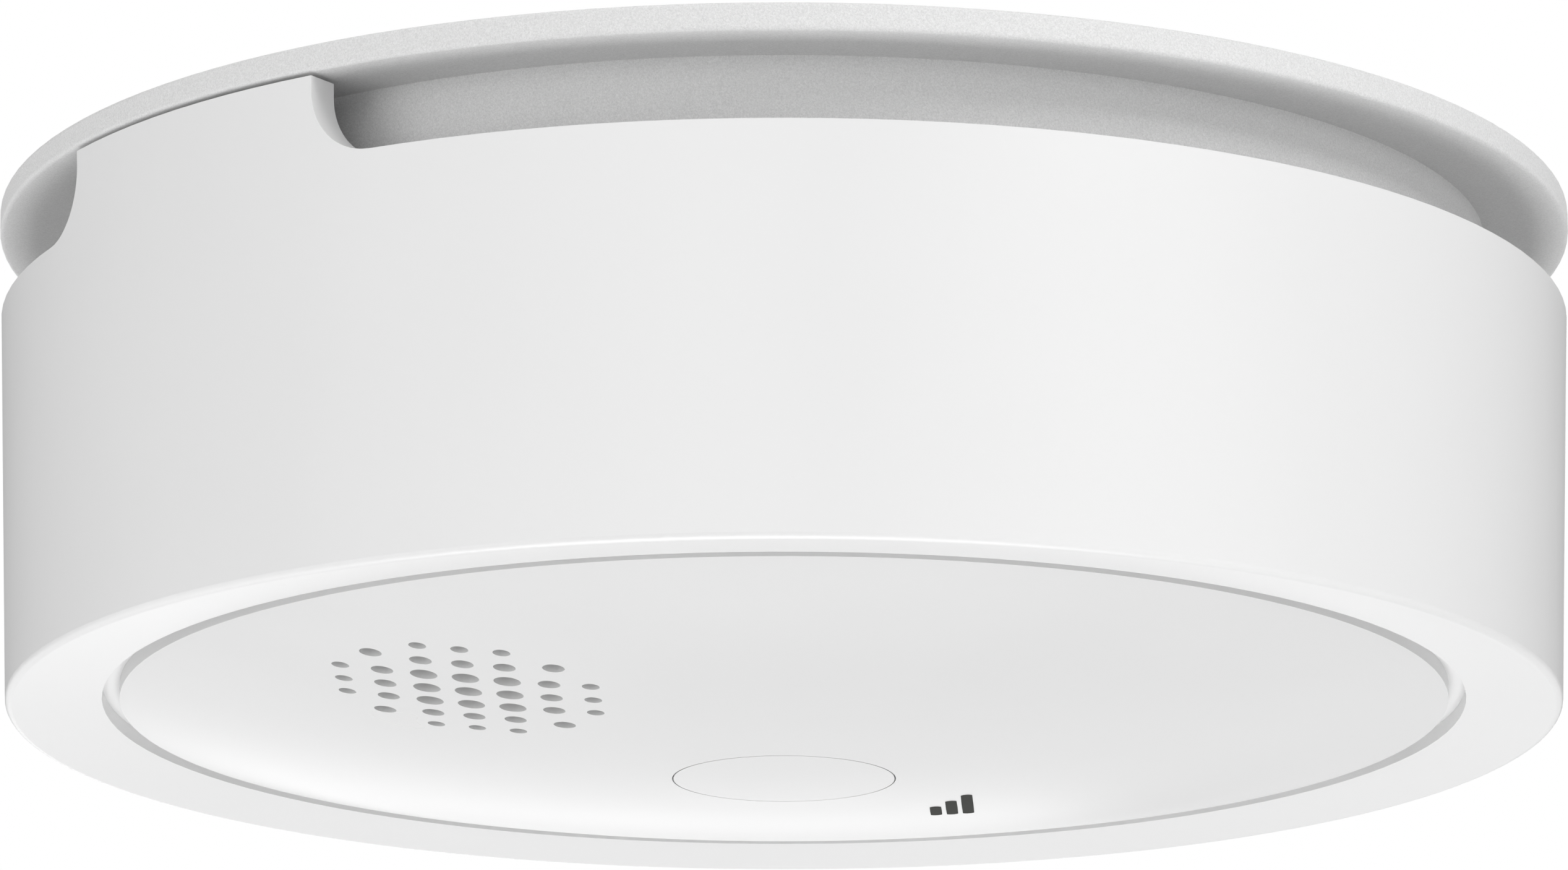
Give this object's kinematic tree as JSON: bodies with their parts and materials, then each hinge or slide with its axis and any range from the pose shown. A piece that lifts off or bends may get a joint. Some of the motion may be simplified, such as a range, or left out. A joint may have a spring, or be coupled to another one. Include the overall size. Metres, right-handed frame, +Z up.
{
  "type": "smoke detector",
  "caption": "Round ceiling smoke alarm: twist-on unit with a side smoke inlet, domed face, sounder grille and test button, on a screw-on plate.",
  "frame": {"origin": "centre of the mounting plate's ceiling face, midway between the screw slots", "axes": "+Z up into the ceiling, +Y along the line of the screw slots"},
  "size_m": [0.1254, 0.1254, 0.0454],
  "materials": {
    "grained_plastic": "fine grain, matte",
    "smooth_plastic": "smooth satin",
    "horn_plastic": "matte",
    "black_plastic": "matte",
    "board_laminate": "solder mask",
    "cell_can": "printed sleeve",
    "can_aluminium": "bright",
    "spring_steel": "bright",
    "zinc_steel": "zinc plated",
    "piezo_brass": "bright",
    "piezo_white": "silvered",
    "clear_lens": "tinted clear",
    "foam": "foam"
  },
  "bodies": {
    "plate": {"mounting_plate": "grained_plastic"},
    "alarm": {"rear_housing": "grained_plastic", "battery_door": "grained_plastic", "battery": "cell_can", "positive_contact": "spring_steel", "negative_contact": "spring_steel", "outer_cover": "smooth_plastic", "face_disc": "smooth_plastic", "circuit_board": "board_laminate", "tact_switch": "black_plastic", "chamber_base": "black_plastic", "chamber_cap": "black_plastic", "insect_screen": "spring_steel", "infrared_emitter": "clear_lens", "photodiode": "clear_lens", "sounder_horn": "horn_plastic", "piezo_disc": "piezo_brass", "piezo_ceramic": "piezo_white", "sounder_contacts": "spring_steel", "sounder_gasket": "foam", "microcontroller": "black_plastic", "boost_coil": "black_plastic", "status_led": "clear_lens", "capacitors": "can_aluminium", "cover_screws": "zinc_steel", "board_screws": "zinc_steel", "button_spring": "spring_steel"},
    "button": {"test_button": "smooth_plastic"},
    "plunger": {"switch_plunger": "black_plastic"}
  },
  "joints": [
    {"name": "twist_lock", "type": "hinge", "parent": "plate", "child": "alarm", "pos_m": [0, 0, 0], "axis": [0, 0, -1], "range_deg": [0, 20]},
    {"name": "button_press", "type": "slide", "parent": "alarm", "child": "button", "axis": [0, 0, 1], "range_m": [0, 0.0012], "stiffness_N_per_m": 400, "springref_m": -0.002, "deforming": ["button_spring"]},
    {"name": "plunger_press", "type": "slide", "parent": "alarm", "child": "plunger", "axis": [0, 0, 1], "range_m": [0, 0.0003]}
  ],
  "couplings": [
    {"joint": "plunger_press", "follows": "button_press", "ratio": 0.25}
  ]
}
